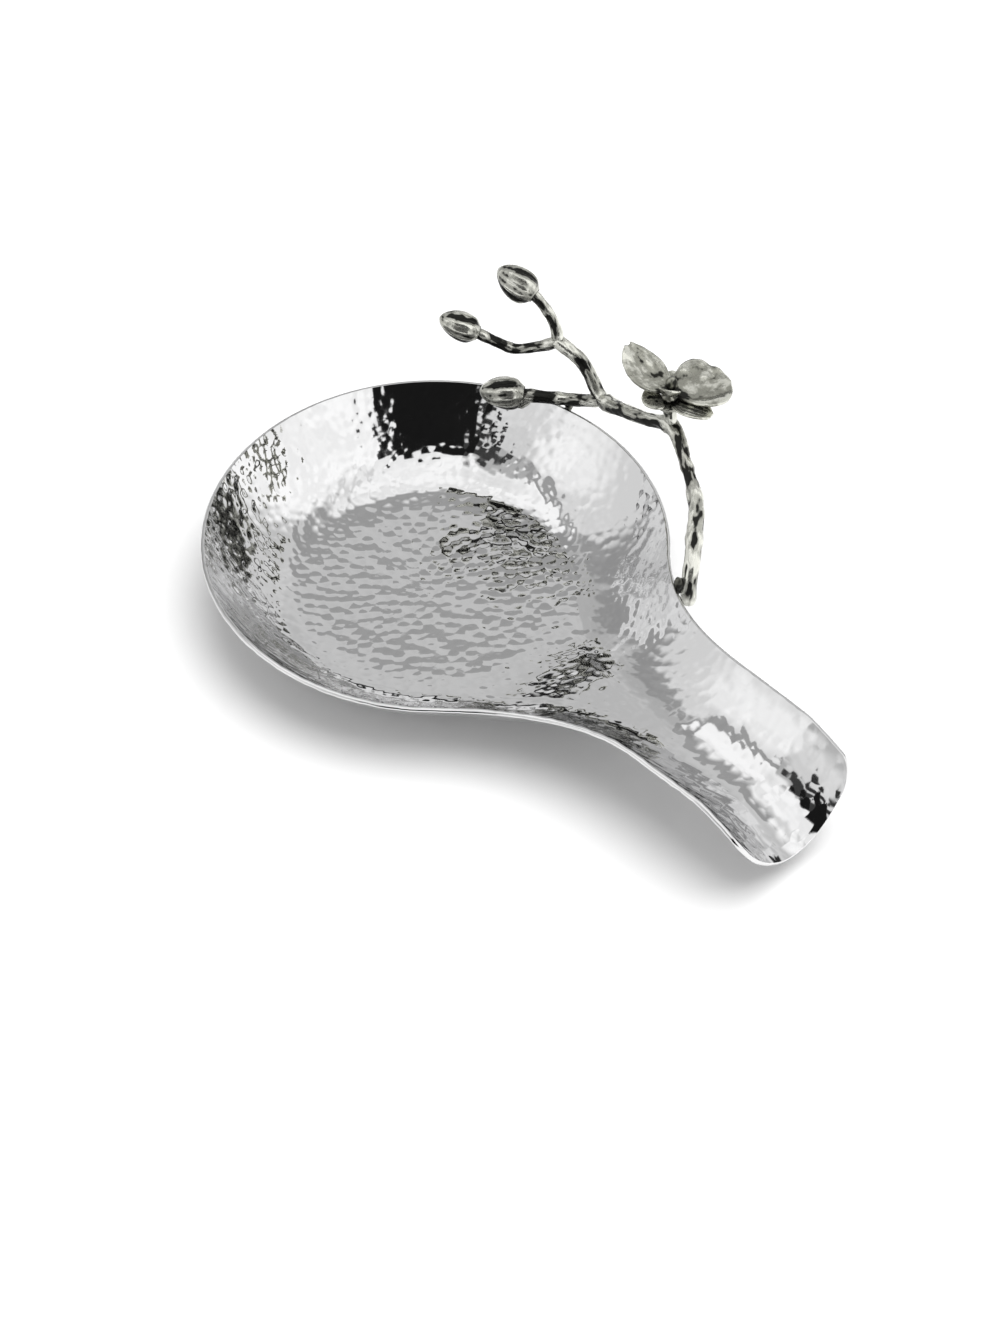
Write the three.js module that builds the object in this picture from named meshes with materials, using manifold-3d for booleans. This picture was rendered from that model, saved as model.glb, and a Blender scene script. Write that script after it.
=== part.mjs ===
// Spoon rest: a planished steel dish with an open trough handle, and a cast orchid twig brazed to its rim.
// Millimetres, +Z up. The origin is the centre of the dish's flat base, and the handle runs along +X.
import * as THREE from "three";
import { mergeVertices } from "three/addons/utils/BufferGeometryUtils.js";
import Module from "manifold-3d";

const wasm = await Module();
wasm.setup();

// Fits
const clearance = 0.3;

// Bowl, measured on the sheet's outer face
const bowlRadius = 70;
const rimHeight = 24;
const baseRadius = 42;
const baseFacet = 20;
const wallCurve = 1.7;
const sheetThickness = 1.6;

// Trough handle
const handleWidth = 48.4;
const handleEndWidth = 47.1;
const neckFillet = 76.7;
const handleStraight = 35.2;
const cornerRadius = 5.2;
const endRadius = 470;
const troughCurve = 2.1;
const spineStep = 4.2;
const spineStepLength = 24;
const spineCrest = 14;
const spineTip = 6;
const edgeCrest = 7;
const edgeTip = 0;
const droopLength = 20;
const droopCurve = 1.4;

// Twig: the unit its stations are counted in, and the radii of the cast lengths
const twigUnit = 1;
const stemRadius = 2.4;
const branchRadius = 2.1;
const nodeRadius = 1.8;
const stalkRadius = 1.6;
const lowerStalkRadius = 2;
const flowerStalkRadius = 1.8;

// Foot of the twig beside the neck: how far along the neck's arc, and how far below the rim it ends
const footShare = 0.266;
const footGap = 1.1;
const footDrop = 5.5;
const footBeadRadius = 3.1;

// Where the lower bud's stalk lies across the rim
const crossingBearing = 101.6;
const crossingGap = 0.4;
const rimBeadRadius = 2.3;

// Buds
const budLength = 14.2;
const budRadius = 5.2;
const smallBudLength = 13.2;
const smallBudRadius = 4.6;
const budSocketDepth = 2.6;
const budCollarWall = 0.6;
const budGroove = 0.1;

// Blossom
const leftPetalLength = 17.3;
const leftPetalWidth = 12.7;
const leftPetalRise = 0.51;
const leftPetalCup = 0.75;
const rightPetalLength = 17.9;
const rightPetalWidth = 20.8;
const rightPetalRise = 0.12;
const rightPetalCup = 1.6;
const petalThickness = 1.2;
const petalLift = 1.5;
const petalSpread = 58;
const dorsalSepalLength = 11.5;
const leftSepalLength = 7;
const rightSepalLength = 13;
const sepalWidth = 8.8;
const sepalThickness = 1.1;
const sepalRise = 0.12;
const sepalCup = 0.8;
const lipLength = 6.5;
const lipWidth = 6;
const lipThickness = 1;
const lipRise = 1.1;
const lipCup = 1.6;
const clawWidth = 2.8;
const columnPinRadius = 1.1;
const columnPinDepth = 3;
const columnCollarRadius = 2.4;
const columnHeadRadius = 1.9;
const columnHeadHeight = 4;
const seatRadius = 3.6;
const seatThickness = 1.8;
const blossomLeanX = 0.03;
const blossomLeanY = 0.11;
const blossomTurn = 34;
const dorsalBearing = 90;
const leftSepalSpread = 116;
const rightSepalSpread = 108;
const lipBearing = 270;

// Leaf shape, in shares of its length or width
const clawShare = 0.16;
const swellSpan = 0.96;
const swellSkew = 1.15;
const swellFullness = 0.55;
const leafCurl = 1.7;

// Mesh steps
const bowlSteps = 24;
const neckSteps = 12;
const straightSteps = 9;
const cornerSteps = 5;
const endSteps = 5;
const wallSteps = 7;
const limbSides = 10;
const stemSteps = 44;
const stalkSteps = 14;
const flowerStalkSteps = 8;
const budRows = 9;
const budSides = 18;
const leafRows = 9;
const leafColumns = 8;
const pinSides = 12;
const seatSides = 16;
const beadSides = 14;
const beadRows = 10;

// Domed end of a cast length, in shares of its radius
const domeRingOut = 0.4;
const domeRingSize = 0.75;
const domeTipOut = 0.65;

const steel = { color: 0xc9cacb, roughness: 0.12, metalness: 1 };
const nickel = { color: 0x96968a, roughness: 0.38, metalness: 0.9 };
const braze = { color: 0x5d5b52, roughness: 0.5, metalness: 0.9 };

const smoothstep = THREE.MathUtils.smoothstep;
const lerp = THREE.MathUtils.lerp;
const degToRad = THREE.MathUtils.degToRad;

// Closed surfaces and solids

// An indexed geometry from a list of points and a list of triangles, with like points merged
function indexed(points, triangles) {
  const geometry = new THREE.BufferGeometry();
  geometry.setAttribute("position", new THREE.Float32BufferAttribute(points.flatMap((p) => [p.x, p.y, p.z]), 3));
  geometry.setIndex(triangles.flat());
  const merged = mergeVertices(geometry, 1e-3);
  const index = merged.getIndex().array;
  const kept = [];
  for (let i = 0; i < index.length; i += 3) {
    const [a, b, c] = [index[i], index[i + 1], index[i + 2]];
    if (a !== b && b !== c && c !== a) kept.push(a, b, c);
  }
  merged.setIndex(kept);
  return merged;
}

// Gives an open surface a thickness along its normals, below and above it, and closes its edge
function thicken(surface, below, above) {
  surface.computeVertexNormals();
  const position = surface.getAttribute("position");
  const normal = surface.getAttribute("normal");
  const count = position.count;
  const points = [];
  for (const offset of [-below, above]) {
    for (let i = 0; i < count; i += 1) {
      const p = new THREE.Vector3().fromBufferAttribute(position, i);
      points.push(p.addScaledVector(new THREE.Vector3().fromBufferAttribute(normal, i), offset));
    }
  }
  const index = surface.getIndex().array;
  const triangles = [];
  const edges = new Map();
  for (let i = 0; i < index.length; i += 3) {
    const corners = [index[i], index[i + 1], index[i + 2]];
    triangles.push([corners[0], corners[2], corners[1]]);
    triangles.push(corners.map((c) => c + count));
    corners.forEach((from, k) => edges.set(`${from}_${corners[(k + 1) % 3]}`, [from, corners[(k + 1) % 3]]));
  }
  for (const [from, to] of edges.values()) {
    if (edges.has(`${to}_${from}`)) continue;
    triangles.push([from, to, to + count], [from, to + count, from + count]);
  }
  return indexed(points, triangles);
}

// Joins rings of points into a closed body with a point at each end
function loft(rings, first, last) {
  const sides = rings[0].length;
  const points = [first, ...rings.flat(), last];
  const at = (ring, side) => 1 + ring * sides + (side % sides);
  const triangles = [];
  for (let side = 0; side < sides; side += 1) {
    triangles.push([0, at(0, side + 1), at(0, side)]);
    triangles.push([points.length - 1, at(rings.length - 1, side), at(rings.length - 1, side + 1)]);
    for (let ring = 0; ring + 1 < rings.length; ring += 1) {
      triangles.push([at(ring, side), at(ring, side + 1), at(ring + 1, side + 1)]);
      triangles.push([at(ring, side), at(ring + 1, side + 1), at(ring + 1, side)]);
    }
  }
  return indexed(points, triangles);
}

function solidOf(geometry) {
  const bare = geometry.clone();
  bare.deleteAttribute("normal");
  bare.deleteAttribute("uv");
  const merged = mergeVertices(bare, 1e-4);
  const vertProperties = new Float32Array(merged.getAttribute("position").array);
  const triVerts = new Uint32Array(merged.getIndex().array);
  return new wasm.Manifold(new wasm.Mesh({ numProp: 3, vertProperties, triVerts }));
}

// The largest body of a solid, as a geometry: a cut may leave crumbs on the far side of its tool
function geometryOf(solid) {
  const bodies = solid.decompose().sort((a, b) => b.volume() - a.volume());
  const mesh = bodies[0].getMesh();
  const geometry = new THREE.BufferGeometry();
  geometry.setAttribute("position", new THREE.BufferAttribute(new Float32Array(mesh.vertProperties), 3));
  geometry.setIndex(new THREE.BufferAttribute(new Uint32Array(mesh.triVerts), 1));
  return geometry;
}

function cut(geometry, ...tools) {
  return geometryOf(tools.reduce((solid, tool) => solid.subtract(solidOf(tool)), solidOf(geometry)));
}

function joined(first, ...others) {
  return geometryOf(others.reduce((solid, other) => solid.add(solidOf(other)), solidOf(first)));
}

// Dish outline: the bowl's circle, a neck arc touching it and the straight edge, a corner arc and the end arc
const halfWidth = handleWidth / 2;
const neckY = halfWidth + neckFillet;
const neckX = Math.sqrt((bowlRadius + neckFillet) ** 2 - neckY ** 2);
const neckBearing = Math.atan2(neckY, neckX);
const neckStartX = bowlRadius * Math.cos(neckBearing);
const cornerX = neckX + handleStraight;
const cornerY = halfWidth - cornerRadius;
const endX = cornerX - Math.sqrt((endRadius - cornerRadius) ** 2 - cornerY ** 2);
const endBearing = Math.atan2(cornerY, cornerX - endX);
const handleTip = endX + endRadius;

// How far the handle has bent down towards its end, as a share of the whole droop
function droop(x) {
  return Math.max(0, 1 - (handleTip - x) / droopLength) ** droopCurve;
}

// Height of the trough's lowest line, and of the edges that it would have at full width
function spineHeight(x) {
  const step = spineStep * smoothstep(x, baseRadius, baseRadius + spineStepLength);
  const rising = (spineCrest - spineStep) * smoothstep(x, baseRadius, neckX);
  return step + rising - (spineCrest - spineTip) * droop(x);
}

function edgeHeight(x) {
  return rimHeight + edgeCrest * smoothstep(x, neckStartX, neckX) - (edgeCrest - edgeTip) * droop(x);
}

// The handle widens from its straight start to its end
function widening(x) {
  return lerp(1, handleEndWidth / handleWidth, smoothstep(x, neckX, cornerX));
}

function troughHeight(x, y) {
  const spine = spineHeight(x);
  return spine + (edgeHeight(x) - spine) * Math.abs(y / halfWidth) ** troughCurve;
}

// One rib of the sheet: a straight line in plan from the floor or the spine out to the rim
function rib(base, rim, heightAt) {
  const pointAt = (share) => {
    const plan = base.clone().lerp(rim, share);
    return new THREE.Vector3(plan.x, plan.y * widening(plan.x), heightAt(plan, share));
  };
  return { length: base.distanceTo(rim), pointAt };
}

function wallRib(base, rim, curve) {
  const foot = spineHeight(base.x);
  const rise = edgeHeight(rim.x) - foot;
  return rib(base, rim, (plan, share) => foot + rise * share ** curve);
}

function troughRib(base, rim) {
  return rib(base, rim, (plan) => troughHeight(plan.x, plan.y));
}

const polar = (radius, angle) => new THREE.Vector2(radius * Math.cos(angle), radius * Math.sin(angle));

function neckRimAt(share) {
  return polar(neckFillet, lerp(neckBearing + Math.PI, 1.5 * Math.PI, share)).add({ x: neckX, y: neckY });
}

// The ribs of the +Y half, from the back of the bowl to the middle of the handle's end
function halfRibs() {
  const list = [];
  for (let i = 0; i <= bowlSteps; i += 1) {
    const bearing = lerp(Math.PI, neckBearing, i / bowlSteps);
    list.push(wallRib(polar(baseRadius, bearing), polar(bowlRadius, bearing), wallCurve));
  }
  const floorEdge = new THREE.QuadraticBezierCurve(
    polar(baseRadius, neckBearing),
    new THREE.Vector2(baseRadius / Math.cos(neckBearing), 0),
    new THREE.Vector2(neckX, 0),
  );
  for (let i = 1; i <= neckSteps; i += 1) {
    const share = i / neckSteps;
    list.push(wallRib(floorEdge.getPoint(share), neckRimAt(share), lerp(wallCurve, troughCurve, share)));
  }
  for (let i = 1; i <= straightSteps; i += 1) {
    const x = lerp(neckX, cornerX, i / straightSteps);
    list.push(troughRib(new THREE.Vector2(x, 0), new THREE.Vector2(x, halfWidth)));
  }
  const fanBase = new THREE.Vector2(cornerX, 0);
  for (let i = 1; i <= cornerSteps; i += 1) {
    const angle = lerp(Math.PI / 2, endBearing, i / cornerSteps);
    list.push(troughRib(fanBase, polar(cornerRadius, angle).add({ x: cornerX, y: cornerY })));
  }
  for (let i = 1; i <= endSteps; i += 1) {
    const angle = lerp(endBearing, 0, i / endSteps);
    list.push(troughRib(fanBase, polar(endRadius, angle).add({ x: endX, y: 0 })));
  }
  return list;
}

const mirrored = (p) => new THREE.Vector3(p.x, -p.y, p.z);

// The sheet's outer face, with each rib carried past the rim by a given length
function dishSurface(pastRim) {
  const ribs = halfRibs();
  const points = [];
  const triangles = [];
  const addTriangle = (a, b, c) => {
    triangles.push([points.length, points.length + 1, points.length + 2]);
    points.push(a, b, c);
  };
  const addBoth = (a, b, c) => {
    addTriangle(a, b, c);
    addTriangle(mirrored(a), mirrored(c), mirrored(b));
  };
  for (let i = 0; i + 1 < ribs.length; i += 1) {
    for (let k = 0; k < wallSteps; k += 1) {
      const [a, b] = [ribs[i], ribs[i + 1]].map((r) => r.pointAt((k / wallSteps) * (1 + pastRim / r.length)));
      const [c, d] = [ribs[i + 1], ribs[i]].map((r) => r.pointAt(((k + 1) / wallSteps) * (1 + pastRim / r.length)));
      addBoth(a, b, c);
      addBoth(a, c, d);
    }
  }
  const floor = ribs.map((r) => r.pointAt(0));
  for (let i = bowlSteps; i < bowlSteps + neckSteps; i += 1) {
    addTriangle(floor[i], mirrored(floor[i]), mirrored(floor[i + 1]));
    addTriangle(floor[i], mirrored(floor[i + 1]), floor[i + 1]);
  }
  addFlatBase(floor.slice(0, bowlSteps + 1), addTriangle);
  return indexed(points, triangles);
}

// The flat base inside the floor's edge, around one large facet at the origin
function addFlatBase(edge, addTriangle) {
  const outline = [...edge, ...edge.slice(1).reverse().map(mirrored)].reverse();
  const facet = [1, 3, 5].map((third) => polar(baseFacet, (third * Math.PI) / 3));
  const contour = outline.map((p) => new THREE.Vector2(p.x, p.y));
  const hole = [...facet].reverse();
  const all = [...contour, ...hole].map((p) => new THREE.Vector3(p.x, p.y, 0));
  for (const [a, b, c] of THREE.ShapeUtils.triangulateShape(contour, [hole])) addTriangle(all[a], all[b], all[c]);
  addTriangle(...facet.map((p) => new THREE.Vector3(p.x, p.y, 0)));
}

const dishGeometry = thicken(dishSurface(0), 0, sheetThickness);
const dishWithClearance = thicken(dishSurface(clearance), clearance, sheetThickness + clearance);

// Twig stations: a bearing round the bowl from the handle, then units outside the rim and above it or above a base
function station(bearing, outside, above, base = 0) {
  const plan = polar(bowlRadius + outside * twigUnit, degToRad(bearing));
  return new THREE.Vector3(plan.x, plan.y, rimHeight + base + above * twigUnit);
}

// A cast length: round rings along a curve through its stations, with domed ends
function limb(stations, radii, steps, extra = 0) {
  const curve = new THREE.CatmullRomCurve3(stations, false, "centripetal");
  const frames = curve.computeFrenetFrames(steps, false);
  const radiusAt = (share) => {
    const place = share * (radii.length - 1);
    const lower = Math.min(Math.floor(place), radii.length - 2);
    return lerp(radii[lower], radii[lower + 1], place - lower) + extra;
  };
  const ringAt = (centre, radius, step) =>
    Array.from({ length: limbSides }, (_, side) => {
      const angle = (side / limbSides) * 2 * Math.PI;
      const outward = frames.normals[step].clone().multiplyScalar(Math.cos(angle));
      return outward.addScaledVector(frames.binormals[step], Math.sin(angle)).multiplyScalar(radius).add(centre);
    });
  const rings = [];
  const domes = [];
  for (const [step, way] of [[0, -1], [steps, 1]]) {
    const centre = curve.getPointAt(step / steps);
    const radius = radiusAt(step / steps);
    const along = (share) => centre.clone().addScaledVector(frames.tangents[step], way * share * radius);
    domes.push({ ring: ringAt(along(domeRingOut), domeRingSize * radius, step), point: along(domeTipOut) });
  }
  for (let step = 0; step <= steps; step += 1) {
    rings.push(ringAt(curve.getPointAt(step / steps), radiusAt(step / steps), step));
  }
  return loft([domes[0].ring, ...rings, domes[1].ring], domes[0].point, domes[1].point);
}

// Foot: beside the neck's arc, clear of the rim by the foot gap
const footRim = neckRimAt(footShare);
const footOutward = new THREE.Vector2(neckX, neckY).sub(footRim).normalize();
const footPlan = footRim.clone().addScaledVector(footOutward, stemRadius + footGap);
const foot = (above) => new THREE.Vector3(footPlan.x, footPlan.y, rimHeight + above);

// Main stem, from the foot past the blossom's node to the two forks
const blossomNode = station(68.4, 5.8, 19);
const firstFork = station(92.3, 2.5, 8.5);
const lastFork = station(106, 2.5, 22.5);
const stemStations = [
  foot(-footDrop),
  foot(0.5 * twigUnit),
  station(37, 6.4, 6),
  station(48, 6.7, 12),
  station(58.6, 5.8, 16),
  blossomNode,
  station(74.4, 2.6, 16.5),
  station(83, 1, 12.5),
  firstFork,
  station(99.6, 3.8, 17),
  lastFork,
];
const stemRadii = [
  stemRadius,
  stemRadius,
  stemRadius,
  nodeRadius,
  stemRadius,
  branchRadius,
  stemRadius,
  branchRadius,
  branchRadius,
];
const stemGeometry = limb(stemStations, stemRadii, stemSteps);
const stemWithClearance = limb(stemStations, stemRadii, stemSteps, clearance);

// Lower bud's stalk: crosses the rim just above the sheet's edge, which stands square to the wall
const wallAngle = Math.atan((wallCurve * rimHeight) / (bowlRadius - baseRadius));
const rimTop = sheetThickness * Math.cos(wallAngle);
const crossingAbove = rimTop + crossingGap + lowerStalkRadius;
const crossing = station(crossingBearing, 0, 0, crossingAbove);
const lowerBudSeat = station(112, -4.9, 0, crossingAbove);
const lowerBudTip = station(123.6, -7.6, 0.3, crossingAbove);
const lowerStalkStations = [
  firstFork,
  station(97, 1.7, 1.4, crossingAbove),
  crossing,
  station(106.8, -2.8, 0, crossingAbove),
  lowerBudSeat,
];
const lowerStalkRadii = [lowerStalkRadius, lowerStalkRadius, lowerStalkRadius];

const leftBudSeat = station(125.7, -2.9, 22.5);
const leftBudTip = station(136.2, -2.6, 28);
const leftStalkStations = [
  lastFork,
  station(109.5, 1.2, 19.8),
  station(116.2, -1, 17.5),
  station(121, -2, 19.5),
  leftBudSeat,
];

const topBudSeat = station(112.8, 3.9, 36);
const topBudTip = station(122.9, 6.2, 42);
const topStalkStations = [lastFork, station(106.8, 3.1, 26), station(108.6, 3.7, 30.3), topBudSeat];

const thinStalkRadii = [stalkRadius, stalkRadius, stalkRadius];

// A stalk plugs into its bud by the socket depth, beyond the seat
function stalkRoute(stations, tip) {
  const seat = stations[stations.length - 1];
  const plug = tip.clone().sub(seat).setLength(budSocketDepth);
  return [...stations, seat.clone().add(plug)];
}

const stalks = {
  lower: { route: stalkRoute(lowerStalkStations, lowerBudTip), radii: lowerStalkRadii },
  left: { route: stalkRoute(leftStalkStations, leftBudTip), radii: thinStalkRadii },
  top: { route: stalkRoute(topStalkStations, topBudTip), radii: thinStalkRadii },
};
for (const stalk of Object.values(stalks)) {
  stalk.whole = limb(stalk.route, stalk.radii, stalkSteps);
  stalk.withClearance = limb(stalk.route, stalk.radii, stalkSteps, clearance);
}
stalks.lower.geometry = cut(stalks.lower.whole, stemWithClearance, dishWithClearance);
stalks.left.geometry = cut(stalks.left.whole, stemWithClearance);
stalks.top.geometry = cut(stalks.top.whole, stemWithClearance, stalks.left.withClearance);

// A closed bud on its stalk: three sepals wrapped to a point, with a socket for the stalk
function bud(seat, tip, length, radius, stalk) {
  const collar = stalk.radii[0] + clearance + budCollarWall;
  const profile = new THREE.SplineCurve([
    new THREE.Vector2(0, collar),
    new THREE.Vector2(0.18 * length, lerp(collar, radius, 0.8)),
    new THREE.Vector2(0.42 * length, radius),
    new THREE.Vector2(0.72 * length, 0.81 * radius),
    new THREE.Vector2(0.93 * length, 0.4 * radius),
  ]);
  const rings = profile.getPoints(budRows).map((p) =>
    Array.from({ length: budSides }, (_, side) => {
      const angle = (side / budSides) * 2 * Math.PI;
      const grooved = 1 - budGroove * (1 - Math.abs(Math.sin(1.5 * angle))) * Math.sin((Math.PI * p.x) / length);
      return new THREE.Vector3(p.y * grooved * Math.cos(angle), p.y * grooved * Math.sin(angle), p.x);
    }),
  );
  const body = loft(rings, new THREE.Vector3(0, 0, 0), new THREE.Vector3(0, 0, length));
  const axis = tip.clone().sub(seat).normalize();
  body.applyQuaternion(new THREE.Quaternion().setFromUnitVectors(new THREE.Vector3(0, 0, 1), axis));
  body.translate(seat.x, seat.y, seat.z);
  return cut(body, stalk.withClearance);
}

// Braze beads: lumps of filler between the twig and the rim, cut clear of both
function bead(centre, radius) {
  return new THREE.SphereGeometry(radius, beadSides, beadRows).translate(centre.x, centre.y, centre.z);
}

const footBeadPlan = footRim.clone().addScaledVector(footOutward, footGap / 2);
const footBeadCentre = new THREE.Vector3(footBeadPlan.x, footBeadPlan.y, edgeHeight(footRim.x));
const rimBeadPlan = polar(bowlRadius + 0.4 * rimBeadRadius, degToRad(crossingBearing));
const rimBeadCentre = new THREE.Vector3(rimBeadPlan.x, rimBeadPlan.y, rimHeight + 0.1 * rimBeadRadius);

// Blossom: a stack of leaves on the stalk's seat, pinned through the middle
const blossomBase = station(70.5, 5.4, 26.6);
const blossomAxis = new THREE.Vector3(blossomLeanX, blossomLeanY, 1).normalize();

const sepalLevel = clearance;
const collarLevel = sepalLevel + sepalThickness + clearance;
const petalLevel = collarLevel + petalLift;
const lipLevel = petalLevel + petalThickness + clearance;
const headLevel = lipLevel + lipThickness + clearance;
const clawStart = columnPinRadius + clearance;

// One leaf along +X: a narrow claw at the pin, widest past the middle, rising and cupped towards its edge
function leaf({ length, width, thickness, rise, cup, level }) {
  const points = [];
  const triangles = [];
  for (let row = 0; row <= leafRows; row += 1) {
    const share = row / leafRows;
    const swell = Math.sin(Math.PI * swellSpan * share ** swellSkew) ** swellFullness;
    const half = lerp(clawWidth / 2, 0, share) + (width / 2) * swell;
    const out = Math.max(0, share - clawShare);
    for (let column = 0; column <= leafColumns; column += 1) {
      const across = (2 * column) / leafColumns - 1;
      const y = across * half;
      const lift = rise * length * out ** leafCurl + cup * ((2 * y) / width) ** 2;
      points.push(new THREE.Vector3(clawStart + length * share, y, level + lift));
    }
  }
  const at = (row, column) => row * (leafColumns + 1) + column;
  for (let row = 0; row < leafRows; row += 1) {
    for (let column = 0; column < leafColumns; column += 1) {
      triangles.push([at(row, column), at(row + 1, column), at(row + 1, column + 1)]);
      triangles.push([at(row, column), at(row + 1, column + 1), at(row, column + 1)]);
    }
  }
  return thicken(indexed(points, triangles), 0, thickness);
}

const sepal = { width: sepalWidth, thickness: sepalThickness, rise: sepalRise, cup: sepalCup, level: sepalLevel };
const petal = { thickness: petalThickness, level: petalLevel };
const leftPetal = {
  ...petal,
  length: leftPetalLength,
  width: leftPetalWidth,
  rise: leftPetalRise,
  cup: leftPetalCup,
};
const rightPetal = {
  ...petal,
  length: rightPetalLength,
  width: rightPetalWidth,
  rise: rightPetalRise,
  cup: rightPetalCup,
};
const lip = {
  length: lipLength,
  width: lipWidth,
  thickness: lipThickness,
  rise: lipRise,
  cup: lipCup,
  level: lipLevel,
};

// The column: a headed pin that holds the stack on the seat, with a collar that keeps the petals off the sepals
function columnGeometry() {
  const profile = [
    [0, -columnPinDepth],
    [columnPinRadius, -columnPinDepth],
    [columnPinRadius, collarLevel],
    [columnCollarRadius, collarLevel],
    [columnCollarRadius, petalLevel - clearance],
    [columnPinRadius, petalLevel - clearance],
    [columnPinRadius, headLevel],
    [columnHeadRadius, headLevel],
    [columnHeadRadius, headLevel + 0.45 * columnHeadHeight],
    [0.6 * columnHeadRadius, headLevel + 0.85 * columnHeadHeight],
    [0, headLevel + columnHeadHeight],
  ];
  const lathe = new THREE.LatheGeometry(profile.map(([r, z]) => new THREE.Vector2(r, z)), pinSides);
  return lathe.rotateX(Math.PI / 2);
}

// The seat that the stack lies on, with the pin's bore
function seatGeometry() {
  const profile = [
    [0, -seatThickness],
    [0.75 * seatRadius, -seatThickness],
    [seatRadius, -0.4 * seatThickness],
    [seatRadius, 0],
    [0, 0],
  ];
  const lathe = new THREE.LatheGeometry(profile.map(([r, z]) => new THREE.Vector2(r, z)), seatSides);
  return lathe.rotateX(Math.PI / 2);
}

function boreGeometry() {
  const depth = columnPinDepth + clearance;
  const radius = columnPinRadius + clearance;
  return new THREE.CylinderGeometry(radius, radius, 2 * depth, pinSides).rotateX(Math.PI / 2);
}

const blossomMatrix = new THREE.Matrix4().compose(
  blossomBase,
  new THREE.Quaternion().setFromUnitVectors(new THREE.Vector3(0, 0, 1), blossomAxis),
  new THREE.Vector3(1, 1, 1),
);

function flowerStalkGeometry() {
  const middle = blossomNode.clone().lerp(blossomBase, 0.5);
  const top = blossomBase.clone().addScaledVector(blossomAxis, -0.8 * seatThickness);
  const radii = [flowerStalkRadius, flowerStalkRadius, flowerStalkRadius];
  const stalk = limb([blossomNode, middle, top], radii, flowerStalkSteps);
  const whole = joined(stalk, seatGeometry().applyMatrix4(blossomMatrix));
  return cut(whole, stemWithClearance, boreGeometry().applyMatrix4(blossomMatrix));
}

// Scene graph
function piece(name, geometry, finish) {
  const mesh = new THREE.Mesh(geometry, new THREE.MeshStandardMaterial(finish));
  mesh.name = name;
  return mesh;
}

const spoonRest = new THREE.Group();
spoonRest.add(piece("dish", dishGeometry, steel));

const twig = new THREE.Group();
spoonRest.add(twig);
twig.add(piece("main_stem", stemGeometry, nickel));
twig.add(piece("lower_bud_stalk", stalks.lower.geometry, nickel));
twig.add(piece("left_bud_stalk", stalks.left.geometry, nickel));
twig.add(piece("top_bud_stalk", stalks.top.geometry, nickel));
twig.add(piece("lower_bud", bud(lowerBudSeat, lowerBudTip, budLength, budRadius, stalks.lower), nickel));
twig.add(piece("left_bud", bud(leftBudSeat, leftBudTip, smallBudLength, smallBudRadius, stalks.left), nickel));
twig.add(piece("top_bud", bud(topBudSeat, topBudTip, budLength, budRadius, stalks.top), nickel));
twig.add(piece("flower_stalk", flowerStalkGeometry(), nickel));

const footBead = cut(bead(footBeadCentre, footBeadRadius), dishWithClearance, stemWithClearance);
twig.add(piece("foot_braze_bead", footBead, braze));
const rimBead = cut(bead(rimBeadCentre, rimBeadRadius), dishWithClearance, stalks.lower.withClearance);
twig.add(piece("rim_braze_bead", rimBead, braze));

const blossom = new THREE.Group();
blossom.applyMatrix4(blossomMatrix);
twig.add(blossom);
const leaves = [
  ["dorsal_sepal", { ...sepal, length: dorsalSepalLength }, dorsalBearing],
  ["left_sepal", { ...sepal, length: leftSepalLength }, dorsalBearing + leftSepalSpread],
  ["right_sepal", { ...sepal, length: rightSepalLength }, dorsalBearing - rightSepalSpread],
  ["left_petal", leftPetal, dorsalBearing + petalSpread],
  ["right_petal", rightPetal, dorsalBearing - petalSpread],
  ["lip", lip, lipBearing],
];
for (const [name, shape, bearing] of leaves) {
  const mesh = piece(name, leaf(shape), nickel);
  mesh.rotation.z = degToRad(bearing + blossomTurn);
  blossom.add(mesh);
}
blossom.add(piece("column", columnGeometry(), nickel));

export default spoonRest;
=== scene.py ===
import math

import bpy
import numpy as np
from mathutils import Matrix, Vector, noise


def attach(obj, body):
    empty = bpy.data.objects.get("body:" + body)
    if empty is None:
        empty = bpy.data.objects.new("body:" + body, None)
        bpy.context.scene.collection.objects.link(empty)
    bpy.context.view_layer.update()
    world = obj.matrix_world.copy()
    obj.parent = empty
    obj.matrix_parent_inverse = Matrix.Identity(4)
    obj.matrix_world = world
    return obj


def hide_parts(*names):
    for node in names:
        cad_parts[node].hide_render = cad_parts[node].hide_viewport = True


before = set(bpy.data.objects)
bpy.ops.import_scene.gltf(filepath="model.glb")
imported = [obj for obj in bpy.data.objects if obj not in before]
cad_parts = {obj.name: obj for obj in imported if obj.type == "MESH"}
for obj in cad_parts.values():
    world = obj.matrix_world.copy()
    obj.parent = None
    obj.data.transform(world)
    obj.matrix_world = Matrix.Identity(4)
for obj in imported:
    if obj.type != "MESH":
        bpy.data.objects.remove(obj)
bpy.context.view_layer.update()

# Sizes are in millimetres, as in the construction, and become metres when a mesh is made.
MM = 0.001

# Camera: where the photograph was taken from, and the pixel at which it shows the rim's centre
IMAGE_SIZE = np.array([1000, 1333])
CAMERA_AZIMUTH = math.radians(46.8)
CAMERA_ELEVATION = math.radians(44.76)
CAMERA_DISTANCE = 1030
PIXELS_PER_MM = 3.37
RIM_CENTRE_PIXEL = np.array([435.84, 538.0])
SENSOR_SIZE = 36

# Bowl, on the sheet's outer face
BOWL_RADIUS = 70
RIM_HEIGHT = 24
BASE_RADIUS = 42
WALL_CURVE = 1.7
SHEET_THICKNESS = 1.6

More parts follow.
